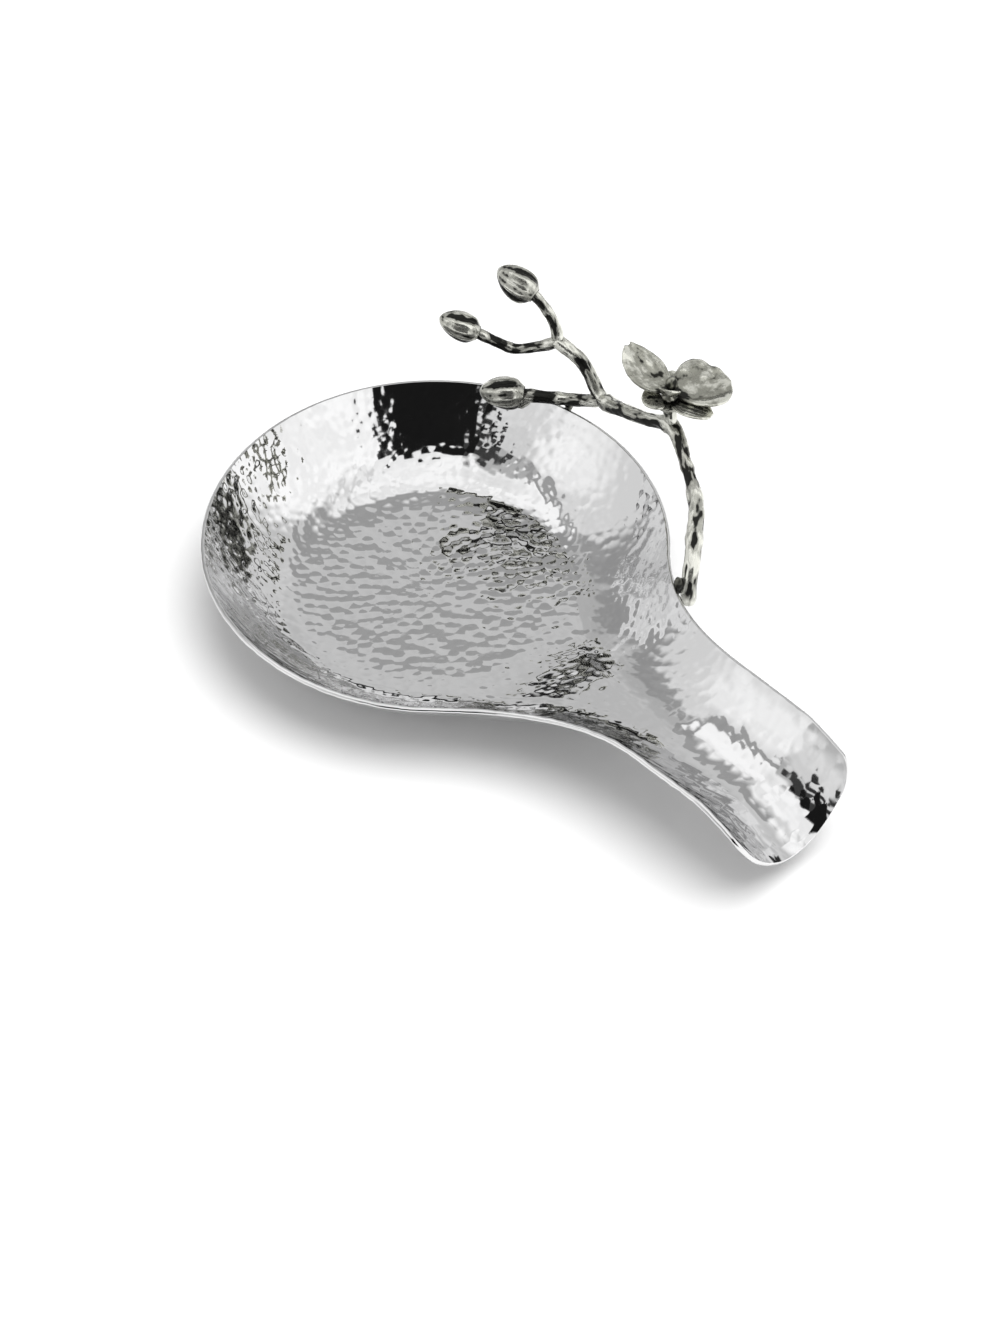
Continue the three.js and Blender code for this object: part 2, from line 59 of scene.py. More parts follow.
# Trough handle
HANDLE_WIDTH = 48.4
HANDLE_END_WIDTH = 47.1
NECK_FILLET = 76.7
HANDLE_STRAIGHT = 35.2
CORNER_RADIUS = 5.2
END_RADIUS = 470
TROUGH_CURVE = 2.1
SPINE_STEP = 4.2
SPINE_STEP_LENGTH = 24
SPINE_CREST = 14
SPINE_TIP = 6
EDGE_CREST = 7
EDGE_TIP = 0
DROOP_LENGTH = 20
DROOP_CURVE = 1.4

# Dish mesh and hammer marks
RIB_SPACING = 0.65
RIB_STEPS = 120
RIB_CROWDING = 0.25
EDGE_ROUNDING = 0.35
EDGE_ROWS = (0.06, 0.2, 0.5, 0.8, 0.94)
EDGE_LEAN = 0.3
FLOOR_LIFT = 0.6
FLOOR_LIFT_START = 34.5
FLOOR_LIFT_END = 46
MARK_SPACING = 3
MARK_REACH = 2.3
MARK_CURVATURE_RADIUS = 20
MARK_SOFTNESS = 0.35
MARK_UNEVENNESS = 3
MARK_SHARPNESS = (0.55, 1.5)
WAVE_COUNT = 18
WAVE_LENGTHS = (5, 10)
WAVE_HEIGHT = 0.009
HANDLE_MARK_STRETCH = 0.55
OUTER_MARKS_SEED = 11
INNER_MARKS_SEED = 5
MARK_CHUNK = 4000

# Twig
STEM_RADII = (2.4, 2.4, 2.4, 1.8, 2.4, 2.1, 2.4, 2.1, 2.1)
LOWER_STALK_RADIUS = 2
STALK_RADIUS = 1.6
FLOWER_STALK_RADIUS = 1.8
FOOT_SHARE = 0.266
FOOT_GAP = 1.1
FOOT_DROP = 5.5
FOOT_BEAD_RADIUS = 3.1
CROSSING_BEARING = 101.6
CROSSING_GAP = 0.4
RIM_BEAD_RADIUS = 2.3
TUBE_SIDES = 28
TUBE_STEP = 0.6
DOME_REACH = 0.65
DOME_ANGLES = (75, 50, 25)
BARK_DEPTH = 0.13
BARK_LENGTHWISE = 0.16
BARK_RATES = (0.9, 2.2, 4.5)
BARK_WEIGHTS = (1.0, 0.7, 0.35)
BARK_TONE = 0.62
# How much darker each length of the twig is made all over
STEM_DARKENING = 0.1
LOWER_STALK_DARKENING = 0.55
LEFT_STALK_DARKENING = 0.8
TOP_STALK_DARKENING = 0.25
KNOT_SHINE = 0.5
PIT_DARKNESS = 1.4
# Painted top light: how much lighter the faces that look up are painted, and the faces that look down darker
PAINTED_TOP_LIGHT = 0.1
BEAD_DRAW = (0.6, 0.6, 1.1)

# Knots: share of the length from the start, reach along it and height
STEM_KNOTS = (
    (0.02, 6, 0.05),
    (0.17, 1.6, 0.3),
    (0.3, 1.8, 0.35),
    (0.385, 1.5, 0.4),
    (0.53, 2.2, 0.7),
    (0.78, 2.4, 0.5),
    (0.98, 2, 0.35),
)
STALK_KNOTS = ((0.12, 2, 0.35), (0.55, 1.2, 0.25), (0.84, 1.3, 0.2))
FLOWER_STALK_KNOTS = ((0.5, 1.2, 0.3),)

# Pits in the stem: share of the length from its foot, side that they face, size, stretch along it and depth
TOWARDS_CAMERA = (0.5, -0.5, 0.7)
TOWARDS_BOWL = (-0.1, -0.8, 0.5)
STEM_PITS = (
    (0.165, TOWARDS_CAMERA, 0.9, 2.2, 1.0),
    (0.05, TOWARDS_CAMERA, 0.4, 9, 0.25),
    (0.09, TOWARDS_BOWL, 0.4, 9, 0.25),
    (0.36, TOWARDS_BOWL, 1.1, 2.6, 0.5),
    (0.43, TOWARDS_BOWL, 1.3, 3.4, 0.7),
    (0.56, (0.2, -0.9, -0.3), 1.2, 3.0, 0.4),
    (0.7, (-0.3, -0.9, -0.2), 1.1, 2.8, 0.4),
    (0.82, (-0.4, -0.7, 0.1), 0.9, 4, 0.3),
    (0.92, (-0.2, -0.6, 0.6), 0.8, 3, 0.3),
)

# Where each piece's roughness starts in the noise
STEM_SEED = 3.7
STALK_SEED = 11.3
BUD_SEED = 20.1
FOOT_BEAD_SEED = 31.0
RIM_BEAD_SEED = 37.0
FLOWER_STALK_SEED = 41.0
SEAT_SEED = 43.0
LEAF_SEED = 51.0
LEAF_SEED_STEP = 2.3
COLUMN_SEED = 71.0

# Buds
BUD_LENGTH = 14.2
BUD_RADIUS = 5.2
SMALL_BUD_LENGTH = 13.2
SMALL_BUD_RADIUS = 4.6
BUD_SOCKET_DEPTH = 2.6
BUD_COLLAR_WALL = 0.9
BUD_SIDES = 66
BUD_TWIST = 0.5
BUD_STREAKS = 4
BUD_ROW_STEP = 0.32
BUD_ROLL = 40
BUD_SHRINK = 0.985
BUD_TONE = 0.54
BUD_GRAIN = 0.7
SEPAL_COUNT = 3
WRAP_STEP = 0.08
SEAM_WIDTH = 0.09
SEAM_DEPTH = 0.17
SEAM_DARKNESS = 1.5
STREAK_DEPTH = 0.03
STREAK_SHINE = 0.3

# Blossom
LEFT_PETAL = {"length": 17.3, "width": 12.7, "thickness": 1.2, "rise": 0.51, "cup": 0.75}
RIGHT_PETAL = {"length": 17.9, "width": 20.8, "thickness": 1.2, "rise": 0.12, "cup": 1.6}
SEPAL = {"width": 8.8, "thickness": 1.1, "rise": 0.12, "cup": 0.8}
DORSAL_SEPAL_LENGTH = 11.5
LEFT_SEPAL_LENGTH = 7
RIGHT_SEPAL_LENGTH = 13
LIP = {"length": 6.5, "width": 6, "thickness": 1, "rise": 1.1, "cup": 1.6}
PETAL_LIFT = 1.5
CLEARANCE = 0.3
CLAW_WIDTH = 2.8
CLAW_SHARE = 0.16
PIN_RADIUS = 1.1
COLLAR_RADIUS = 2.4
COLUMN_HEAD_RADIUS = 1.9
COLUMN_HEAD_HEIGHT = 4
SEAT_RADIUS = 3.6
SEAT_THICKNESS = 1.8
BLOSSOM_LEAN = (0.03, 0.11, 1)
BLOSSOM_TURN = 34
PETAL_SPREAD = 58
LEFT_SEPAL_SPREAD = 116
RIGHT_SEPAL_SPREAD = 108
DORSAL_BEARING = 90
LIP_BEARING = 270
LEAF_ROWS = 44
LEAF_COLUMNS = 36
LEAF_VEINS = 5
LEAF_CROWDING = 0.4
VEIN_HEIGHT = 0.06
RIM_THINNING = 0.62
PETAL_EDGE = {"ruffle": 0.3, "crumple": 0.5}
SMALL_LEAF_EDGE = {"ruffle": 0.08, "crumple": 0.15}
# Notch in the right petal near its tip, which is also painted dark as painted shadow under its fold
RIGHT_PETAL_NICK = 0.12
NICK_SHARE = 0.84
NICK_WIDTH = 0.06
LEAF_TONE = 0.5
LEAF_GRAIN = 0.75
LEAF_GRAIN_RATES = (0.22, 0.6, 1.6)
LEAF_GRAIN_WEIGHTS = (0.6, 0.35, 0.35)
CREASE_RATES = (0.2, 0.45)
CREASE_WEIGHTS = (0.8, 0.4)


def smoothstep(x, low, high):
    share = np.clip((x - low) / (high - low), 0, 1)
    return share * share * (3 - 2 * share)


def lerp(a, b, share):
    return a + (b - a) * share


def polar(radius, angle):
    return np.stack([radius * np.cos(angle), radius * np.sin(angle)], axis=-1)


def unit(vectors):
    length = np.linalg.norm(vectors, axis=-1, keepdims=True)
    return vectors / np.maximum(length, 1e-12)


# Node trees

def add_node(tree, kind, inputs=None, **settings):
    """A new node with its settings; an input is a value or another node's output."""
    node = tree.nodes.new(kind)
    for name, value in settings.items():
        setattr(node, name, value)
    for name, value in (inputs or {}).items():
        if isinstance(value, bpy.types.NodeSocket):
            tree.links.new(value, node.inputs[name])
        else:
            node.inputs[name].default_value = value
    return node


def math_node(tree, operation, first, second=0.0):
    return add_node(tree, "ShaderNodeMath", {0: first, 1: second}, operation=operation).outputs[0]


def map_range(tree, value, low, high, to_low=0.0, to_high=1.0):
    inputs = {"Value": value, "From Min": low, "From Max": high, "To Min": to_low, "To Max": to_high}
    node = add_node(tree, "ShaderNodeMapRange", inputs, interpolation_type="SMOOTHSTEP")
    return node.outputs["Result"]


def mix_values(tree, factor, first, second):
    return add_node(tree, "ShaderNodeMix", {0: factor, 2: first, 3: second}, data_type="FLOAT").outputs[0]


def mix_colors(tree, factor, first, second):
    node = add_node(tree, "ShaderNodeMix", {0: factor, 6: first, 7: second}, data_type="RGBA")
    return node.outputs[2]


def noise_value(tree, scale, detail=3.0):
    place = add_node(tree, "ShaderNodeTexCoord").outputs["Object"]
    inputs = {"Vector": place, "Scale": scale, "Detail": detail}
    return add_node(tree, "ShaderNodeTexNoise", inputs).outputs[0]


def new_material(name):
    material = bpy.data.materials.new(name)
    material.use_nodes = True
    tree = material.node_tree
    return material, tree, tree.nodes["Principled BSDF"]


def connect(tree, shader, **sockets):
    """Joins outputs to a shader's inputs, named with underscores for spaces."""
    for name, output in sockets.items():
        tree.links.new(output, shader.inputs[name.replace("_", " ")])


# Materials

def polished_steel():
    """Mirror polish with faint haze where the buff has dwelt."""
    material, tree, shader = new_material("polished_steel")
    shader.inputs["Metallic"].default_value = 1.0
    haze = noise_value(tree, 55.0)
    grain = noise_value(tree, 900.0, 2.0)
    colour = mix_colors(tree, haze, (0.74, 0.74, 0.745, 1), (0.77, 0.77, 0.77, 1))
    roughness = map_range(tree, haze, 0.3, 0.75, 0.035, 0.075)
    bump = add_node(tree, "ShaderNodeBump", {"Strength": 0.02, "Distance": 0.0002, "Height": grain})
    connect(tree, shader, Base_Color=colour, Roughness=roughness, Normal=bump.outputs[0])
    return material


def ground_edge():
    """The rim's edge, filed and buffed: brighter and less sharp than the faces."""
    material, tree, shader = new_material("ground_edge")
    shader.inputs["Metallic"].default_value = 1.0
    grain = noise_value(tree, 700.0)
    colour = mix_colors(tree, grain, (0.7, 0.7, 0.7, 1), (0.78, 0.78, 0.78, 1))
    roughness = map_range(tree, grain, 0.3, 0.7, 0.07, 0.15)
    connect(tree, shader, Base_Color=colour, Roughness=roughness)
    return material


def antique_nickel(name, bright, dull, dark):
    """Cast nickel, dark where its per-point value of patina, wear and painted light and shade is low, and
    bright where it is high.
    """
    material, tree, shader = new_material(name)
    shader.inputs["Metallic"].default_value = 0.9
    tone_and_shade = add_node(tree, "ShaderNodeAttribute", attribute_name="tone_and_shade").outputs["Fac"]
    tone_shift = noise_value(tree, 420.0, 4.0)
    grain = noise_value(tree, 1600.0, 2.0)
    wear_and_light = math_node(tree, "ADD", tone_and_shade, math_node(tree, "MULTIPLY", tone_shift, 0.5))
    wear_and_light = math_node(tree, "SUBTRACT", wear_and_light, 0.25)
    lower = mix_colors(tree, map_range(tree, wear_and_light, 0.12, 0.42), (*dark, 1), (*dull, 1))
    colour = mix_colors(tree, map_range(tree, wear_and_light, 0.5, 0.95), lower, (*bright, 1))
    roughness = map_range(tree, wear_and_light, 0.2, 0.95, 0.38, 0.12)
    bump = add_node(tree, "ShaderNodeBump", {"Strength": 0.25, "Distance": 0.0002, "Height": grain})
    connect(tree, shader, Base_Color=colour, Roughness=roughness, Normal=bump.outputs[0])
    return material


# Meshes

def add_piece(name, points, triangles, node, materials, tone_and_shade=None, edge_faces=0):
    """A smooth mesh in place of a CAD node. The last edge_faces triangles take the second material."""
    mesh = bpy.data.meshes.new(name)
    mesh.from_pydata((np.asarray(points) * MM).tolist(), [], np.asarray(triangles).tolist())
    mesh.polygons.foreach_set("use_smooth", np.ones(len(mesh.polygons), bool))
    for material in materials:
        mesh.materials.append(material)
    if edge_faces:
        index = np.zeros(len(mesh.polygons), np.int32)
        index[-edge_faces:] = 1
        mesh.polygons.foreach_set("material_index", index)
    if tone_and_shade is not None:
        attribute = mesh.attributes.new("tone_and_shade", "FLOAT", "POINT")
        attribute.data.foreach_set("value", np.asarray(tone_and_shade, np.float32))
    mesh.update()
    piece = bpy.data.objects.new(name, mesh)
    bpy.context.scene.collection.objects.link(piece)
    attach(piece, "root")
    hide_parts(node)


def add_cast(name, shape, node, materials):
    """A piece of the casting, with painted top light: faces that look up are painted lighter and faces that
    look down darker.
    """
    points, triangles, tone_and_shade = shape
    upward = vertex_normals(points, triangles)[:, 2]
    # Painted light and shade, set by which way each face looks
    add_piece(name, points, triangles, node, materials, tone_and_shade + PAINTED_TOP_LIGHT * upward)


def ring_triangles(rows, sides, first=0):
    """Triangles between closed rows of points, wound so that they face out of a row's turning sense."""
    row, side = np.meshgrid(np.arange(rows - 1), np.arange(sides), indexing="ij")
    a = first + row * sides + side
    b = first + row * sides + (side + 1) % sides
    c, d = b + sides, a + sides
    return np.concatenate([np.stack([a, b, c], -1).reshape(-1, 3), np.stack([a, c, d], -1).reshape(-1, 3)])


def vertex_normals(points, triangles):
    corners = points[triangles]
    faces = np.cross(corners[:, 1] - corners[:, 0], corners[:, 2] - corners[:, 0])
    normals = np.zeros_like(points)
    for corner in range(3):
        np.add.at(normals, triangles[:, corner], faces)
    return unit(normals)


# Dish: the bowl's circle, a neck arc touching it and the straight edge, a corner arc and the end arc
HALF_WIDTH = HANDLE_WIDTH / 2
NECK_CENTRE_Y = HALF_WIDTH + NECK_FILLET
NECK_X = math.sqrt((BOWL_RADIUS + NECK_FILLET) ** 2 - NECK_CENTRE_Y ** 2)
NECK_BEARING = math.atan2(NECK_CENTRE_Y, NECK_X)
NECK_START_X = BOWL_RADIUS * math.cos(NECK_BEARING)
CORNER_X = NECK_X + HANDLE_STRAIGHT
CORNER_Y = HALF_WIDTH - CORNER_RADIUS
END_X = CORNER_X - math.sqrt((END_RADIUS - CORNER_RADIUS) ** 2 - CORNER_Y ** 2)
END_BEARING = math.atan2(CORNER_Y, CORNER_X - END_X)
HANDLE_TIP = END_X + END_RADIUS


def droop(x):
    """How far the handle has bent down towards its end, as a share of the whole droop."""
    return np.maximum(0, 1 - (HANDLE_TIP - x) / DROOP_LENGTH) ** DROOP_CURVE


def spine_height(x):
    step = SPINE_STEP * smoothstep(x, BASE_RADIUS, BASE_RADIUS + SPINE_STEP_LENGTH)
    rising = (SPINE_CREST - SPINE_STEP) * smoothstep(x, BASE_RADIUS, NECK_X)
    return step + rising - (SPINE_CREST - SPINE_TIP) * droop(x)


def edge_height(x):
    rising = EDGE_CREST * smoothstep(x, NECK_START_X, NECK_X)
    return RIM_HEIGHT + rising - (EDGE_CREST - EDGE_TIP) * droop(x)


def widening(x):
    return lerp(1, HANDLE_END_WIDTH / HANDLE_WIDTH, smoothstep(x, NECK_X, CORNER_X))


def trough_height(x, y):
    spine = spine_height(x)
    return spine + (edge_height(x) - spine) * np.abs(y / HALF_WIDTH) ** TROUGH_CURVE


def neck_rim(share):
    angle = lerp(NECK_BEARING + math.pi, 1.5 * math.pi, share)
    return polar(NECK_FILLET, angle) + [NECK_X, NECK_CENTRE_Y]


def half_ribs():
    """Ribs of the +Y half in plan, from the bowl's back to the handle's end: spine, floor and rim points."""

    def shares(length):
        steps = max(2, round(length / RIB_SPACING))
        return np.arange(1, steps + 1) / steps

    bearing = lerp(math.pi, NECK_BEARING, np.append(0, shares(BOWL_RADIUS * (math.pi - NECK_BEARING))))
    towards_neck = smoothstep(bearing, math.pi / 2, NECK_BEARING)
    bowl_spine = polar(BASE_RADIUS * math.cos(NECK_BEARING), 0) * towards_neck[:, None]
    bowl = [bowl_spine, polar(BASE_RADIUS, bearing), polar(BOWL_RADIUS, bearing)]

    share = shares(NECK_FILLET * (math.pi / 2 - NECK_BEARING))
    start = polar(BASE_RADIUS, NECK_BEARING)
    middle = np.array([BASE_RADIUS / math.cos(NECK_BEARING), 0])
    end = np.array([NECK_X, 0])
    t = share[:, None]
    floor_edge = start * (1 - t) ** 2 + middle * 2 * t * (1 - t) + end * t ** 2
    neck = [floor_edge * [1, 0], floor_edge, neck_rim(share)]
    curve = np.concatenate([np.full(len(bearing), WALL_CURVE), lerp(WALL_CURVE, TROUGH_CURVE, share)])

    x = lerp(NECK_X, CORNER_X, shares(HANDLE_STRAIGHT))
    straight_rim = np.stack([x, np.full(len(x), HALF_WIDTH)], -1)
    corner_angle = lerp(math.pi / 2, END_BEARING, shares(CORNER_RADIUS * math.pi / 2))
    corner_rim = polar(CORNER_RADIUS, corner_angle) + [CORNER_X, CORNER_Y]
    end_angle = lerp(END_BEARING, 0, shares(END_RADIUS * END_BEARING))
    end_rim = polar(END_RADIUS, end_angle) + [END_X, 0]
    handle_rim = np.concatenate([straight_rim, corner_rim, end_rim])
    handle_spine = np.stack([np.minimum(handle_rim[:, 0], CORNER_X), np.zeros(len(handle_rim))], -1)
    handle = [handle_spine, handle_spine, handle_rim]
    spine, floor, rim = (np.concatenate(parts) for parts in zip(bowl, neck, handle))
    return spine, floor, rim, curve


def dish_grid():
    """Points of the sheet's outer face on a closed loop of ribs, each from the spine out to the rim."""
    spine, floor, rim, curve = half_ribs()
    step = np.arange(RIB_STEPS + 1) / RIB_STEPS
    outward = step * (1 + RIB_CROWDING - RIB_CROWDING * step)
    floor_length = np.linalg.norm(floor - spine, axis=1)[:, None]
    wall_length = np.linalg.norm(rim - floor, axis=1)[:, None]
    distance = outward * (floor_length + wall_length - EDGE_ROUNDING)
    on_floor = np.clip(distance / np.maximum(floor_length, 1e-9), 0, 1)
    on_wall = np.clip((distance - floor_length) / wall_length, 0, 1)
    inner = spine[:, None] + (floor - spine)[:, None] * on_floor[..., None]
    plan = inner + (rim - floor)[:, None] * on_wall[..., None]
    x, y = plan[..., 0], plan[..., 1]
    walls = len(curve)
    foot = spine_height(floor[:walls, :1])
    rise = edge_height(rim[:walls, :1]) - foot
    z = trough_height(x, y)
    z[:walls] = foot + rise * on_wall[:walls] ** curve[:, None]
    turned_up = smoothstep(np.hypot(x, y), FLOOR_LIFT_START, FLOOR_LIFT_END)
    z += FLOOR_LIFT * turned_up * (1 - on_wall) ** 2 * (1 - smoothstep(x, FLOOR_LIFT_END, NECK_X))
    half = np.stack([x, y * widening(x), z], -1)
    mirrored = half[-2:0:-1] * [1, -1, 1]
    grid = np.concatenate([half, mirrored])
    return grid, unit(grid[:, -1] - grid[:, -2])


def merged(grid):
    """The grid's points with like ones merged, and its triangles, facing up."""
    ribs, steps = grid.shape[:2]
    keys, index = np.unique(grid.reshape(-1, 3).round(4), axis=0, return_inverse=True)
    index = index.reshape(ribs, steps)
    following = np.roll(index, -1, axis=0)
    a, b = index[:, :-1].ravel(), following[:, :-1].ravel()
    d, c = index[:, 1:].ravel(), following[:, 1:].ravel()
    triangles = np.concatenate([np.stack([a, b, c], -1), np.stack([a, c, d], -1)])
    whole = (triangles != np.roll(triangles, 1, axis=1)).all(axis=1)
    return keys, triangles[whole], index


def mark_place(points):
    """Points in the space where hammer marks are evenly spaced: on the handle they are longer across it."""
    stretch = lerp(1, HANDLE_MARK_STRETCH, smoothstep(points[:, :1], BOWL_RADIUS, NECK_X))
    return points * np.concatenate([np.ones_like(stretch), stretch, stretch], axis=1)


def hammer_marks(points, seed):
    """Depth of a planished face below its highest ridges: shallow round dents that meet at soft ridges."""
    random = np.random.default_rng(seed)
    place = mark_place(points)
    centres = np.empty((0, 3))
    for candidate in place[random.permutation(len(place))]:
        if not len(centres) or ((centres - candidate) ** 2).sum(1).min() > MARK_SPACING ** 2:
            centres = np.vstack([centres, candidate])
    offsets = random.uniform(0, MARK_UNEVENNESS, len(centres))
    sharpness = random.uniform(*MARK_SHARPNESS, len(centres))
    nearest = np.empty(len(place))
    for first in range(0, len(place), MARK_CHUNK):
        part = place[first:first + MARK_CHUNK]
        squares = (part ** 2).sum(1)[:, None] + (centres ** 2).sum(1) - 2 * part @ centres.T
        squares = squares * sharpness + offsets
        lowest = squares.min(1, keepdims=True)
        spread = np.exp((lowest - squares) / MARK_SOFTNESS).sum(1)
        nearest[first:first + MARK_CHUNK] = lowest[:, 0] - MARK_SOFTNESS * np.log(spread)
    dents = np.clip(MARK_REACH ** 2 - nearest, 0, None) / (2 * MARK_CURVATURE_RADIUS)
    ways = unit(random.normal(size=(WAVE_COUNT, 3)))
    ways = ways * 2 * math.pi / random.uniform(*WAVE_LENGTHS, (WAVE_COUNT, 1))
    waves = np.sin(points @ ways.T + random.uniform(0, 2 * math.pi, WAVE_COUNT)).sum(1)
    return np.maximum(0, dents + WAVE_HEIGHT * (waves + math.sqrt(WAVE_COUNT)))


def add_dish(materials):
    grid, along = dish_grid()
    sheet, triangles, index = merged(grid)
    normals = vertex_normals(sheet, triangles)
    outer = sheet + normals * hammer_marks(sheet, OUTER_MARKS_SEED)[:, None]
    inner = sheet + normals * (SHEET_THICKNESS - hammer_marks(sheet, INNER_MARKS_SEED))[:, None]
    count = len(sheet)
    rim = index[:, -1]
    ribs = len(rim)
    rows = [outer[rim]]
    for share in EDGE_ROWS:
        bulge = EDGE_ROUNDING * (1 - abs(2 * share - 1) ** 4) * (1 + EDGE_LEAN * (1 - 2 * share))
        rows.append(lerp(outer[rim], inner[rim], share) + along * bulge)
    rows.append(inner[rim])
    edge = np.concatenate(rows)
    edge_triangles = ring_triangles(len(rows), ribs, 2 * count)
    faces = np.concatenate([triangles + count, triangles[:, ::-1], edge_triangles])
    points = np.concatenate([outer, inner, edge])
    edge_faces = len(edge_triangles)
    add_piece("planished_dish", points, faces, "dish", materials, edge_faces=edge_faces)


# Shapes of the casting: each function gives points, triangles and, for each point, a value that holds patina,
# wear and painted light and shade

def joined(*shapes):
    """Several shapes as one."""
    starts = np.cumsum([0] + [len(points) for points, _, _ in shapes])
    points = np.concatenate([shape[0] for shape in shapes])
    triangles = np.concatenate([shape[1] + start for shape, start in zip(shapes, starts)])
    return points, triangles, np.concatenate([shape[2] for shape in shapes])


def capped(rings, first_tip, last_tip):
    """Triangles and points of a row of rings with a point at each end."""
    count, sides = rings.shape[:2]
    points = np.concatenate([rings.reshape(-1, 3), [first_tip, last_tip]])
    side = np.arange(sides)
    following = (side + 1) % sides
    last = (count - 1) * sides
    first_cap = np.stack([np.full(sides, count * sides), following, side], -1)
    last_cap = np.stack([np.full(sides, count * sides + 1), last + side, last + following], -1)
    return points, np.concatenate([ring_triangles(count, sides), first_cap, last_cap])


def even_curve(stations, step):
    """Evenly spaced points on the centripetal Catmull-Rom curve through the stations, and their distances."""
    points = np.asarray(stations, float)
    points = np.concatenate([[2 * points[0] - points[1]], points, [2 * points[-1] - points[-2]]])
    knots = np.concatenate([[0], np.cumsum(np.linalg.norm(np.diff(points, axis=0), axis=1) ** 0.5)])

    def between(a, b, low, high, t):
        return (a * (high - t) + b * (t - low)) / (high - low)

    dense = [points[1][None]]
    for i in range(len(points) - 3):
        p0, p1, p2, p3 = points[i:i + 4]
        t0, t1, t2, t3 = knots[i:i + 4]
        t = np.linspace(t1, t2, 40)[1:, None]
        middle = between(p1, p2, t1, t2, t)
        before = between(between(p0, p1, t0, t1, t), middle, t0, t2, t)
        after = between(middle, between(p2, p3, t2, t3, t), t1, t3, t)
        dense.append(between(before, after, t1, t2, t))
    dense = np.concatenate(dense)
    length = np.concatenate([[0], np.cumsum(np.linalg.norm(np.diff(dense, axis=0), axis=1))])
    even = np.linspace(0, length[-1], max(4, round(length[-1] / step)) + 1)
    return np.stack([np.interp(even, length, dense[:, k]) for k in range(3)], -1), even


def frames_along(points):
    """Tangents of a curve and two sideways directions that don't twist about it."""
    tangents = unit(np.gradient(points, axis=0))
    sideways = [unit(np.cross(tangents[0], [0.3, 0.2, 1]))]
    for tangent in tangents[1:]:
        sideways.append(unit(sideways[-1] - tangent * (sideways[-1] @ tangent)))
    sideways = np.array(sideways)
    return tangents, sideways, np.cross(tangents, sideways)


def rough_casting(points, rates, weights, seed):
    """Uneven noise at each point, from about -1 to 1; the rates are per millimetre."""
    values = np.zeros(len(points))
    for rate, weight in zip(rates, weights):
        places = points * rate + seed
        values += weight * np.array([noise.noise(Vector(place)) for place in places])
    return values


def tube(stations, radii, seed, knots=(), pits=(), tone_shift=0.0):
    """A cast length with bark along its stations; knots swell it and pits sink dark hollows into it."""
    axis, along = even_curve(stations, TUBE_STEP)
    tangents, sideways, upright = frames_along(axis)
    radius = np.interp(along / along[-1], np.linspace(0, 1, len(radii)), radii)
    for share, width, height in knots:
        radius = radius + height * np.exp(-((along - share * along[-1]) / width) ** 2)
    dome = np.radians(DOME_ANGLES)
    last = len(axis) - 1
    start = [(0, -DOME_REACH * math.sin(a), math.cos(a)) for a in dome]
    end = [(last, DOME_REACH * math.sin(a), math.cos(a)) for a in dome[::-1]]
    index, out, size = np.array(start + [(i, 0, 1) for i in range(len(axis))] + end).T
    index = index.astype(int)
    angle = np.linspace(0, 2 * math.pi, TUBE_SIDES, endpoint=False)
    spokes = sideways[index, None] * np.cos(angle)[:, None] + upright[index, None] * np.sin(angle)[:, None]
    centres = axis[index] + tangents[index] * (out * radius[index])[:, None]
    distance = np.repeat(along[index] + out * radius[index], TUBE_SIDES)
    turn = np.tile(angle, len(index))
    wrapped = np.stack([np.cos(turn), np.sin(turn), distance * BARK_LENGTHWISE], -1)
    rough = rough_casting(wrapped, BARK_RATES, BARK_WEIGHTS, seed).reshape(len(index), TUBE_SIDES)
    reach = (radius[index] * size)[:, None] * (1 + BARK_DEPTH * rough)
    rings = centres[:, None] + spokes * reach[..., None]
    tips = [axis[i] + tangents[i] * way * DOME_REACH * radius[i] for i, way in ((0, -1), (last, 1))]
    points, triangles = capped(rings, *tips)
    # Each length's tone is shifted darker all over by its tone shift
    tone_and_shade = np.append((BARK_TONE + rough).ravel(), [0.5, 0.5]) - tone_shift
    for share, width, _ in knots:
        lump = np.exp(-((along[index] + out * radius[index] - share * along[-1]) / width) ** 2)
        tone_and_shade[:-2] += KNOT_SHINE * np.repeat(lump, TUBE_SIDES)
    for share, towards, size, stretch, depth in pits:
        i = round(share * last)
        towards = np.asarray(towards, float)
        sideward = unit(towards - tangents[i] * (towards @ tangents[i]))
        away = points - axis[i] - sideward * radius[i]
        lengthwise = away @ tangents[i]
        across = np.linalg.norm(away - lengthwise[:, None] * tangents[i], axis=1)
        hollow = np.exp(-(lengthwise / (stretch * size)) ** 2 - (across / size) ** 2)
        points = points - sideward * depth * hollow[:, None]
        tone_and_shade = tone_and_shade - PIT_DARKNESS * hollow
    return points, triangles, tone_and_shade


def placed(points, base, axis, turn=0.0):
    """Points modelled along +Z, turned about it, tilted to an axis and moved to a base."""
    tilt = Vector((0, 0, 1)).rotation_difference(Vector(axis)).to_matrix() @ Matrix.Rotation(turn, 3, "Z")
    return points @ np.array(tilt).T + base


